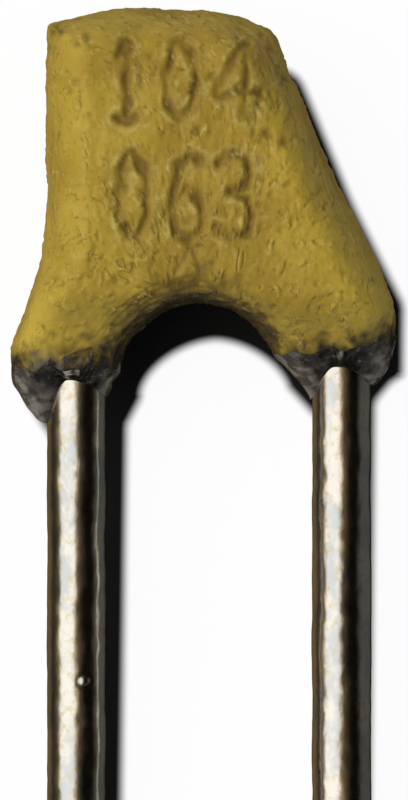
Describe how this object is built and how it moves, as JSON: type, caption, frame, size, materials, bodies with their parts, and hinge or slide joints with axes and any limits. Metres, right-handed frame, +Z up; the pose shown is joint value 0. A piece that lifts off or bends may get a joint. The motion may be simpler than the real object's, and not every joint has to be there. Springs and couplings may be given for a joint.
{
  "type": "dipped ceramic capacitor",
  "caption": "Small lacquer-dipped ceramic plate capacitor with a slanted side, an arch between its legs, resin collars and straight radial wire leads.",
  "frame": {"origin": "midway between the leads, on the seating plane where the bare leads start", "axes": "+X from the left lead to the right one, +Y up the body away from the leads' tips, +Z up from the surface that it lies on, out of the marked face"},
  "size_m": [0.0037, 0.012, 0.0022],
  "materials": {
    "lacquer": "satin ochre lacquer with fine orange peel",
    "collar_resin": "dark glossy resin",
    "tinned_wire": "bright tinned, lightly tarnished",
    "ceramic": "fired, bare",
    "fired_silver": "fired silver, satin",
    "solder": "soft solder"
  },
  "bodies": {
    "root": {"coating": "lacquer", "left_lead_collar": "collar_resin", "right_lead_collar": "collar_resin", "left_lead": "tinned_wire", "right_lead": "tinned_wire", "ceramic_plate": "ceramic", "front_electrode": "fired_silver", "back_electrode": "fired_silver", "front_solder": "solder", "back_solder": "solder"}
  },
  "joints": []
}
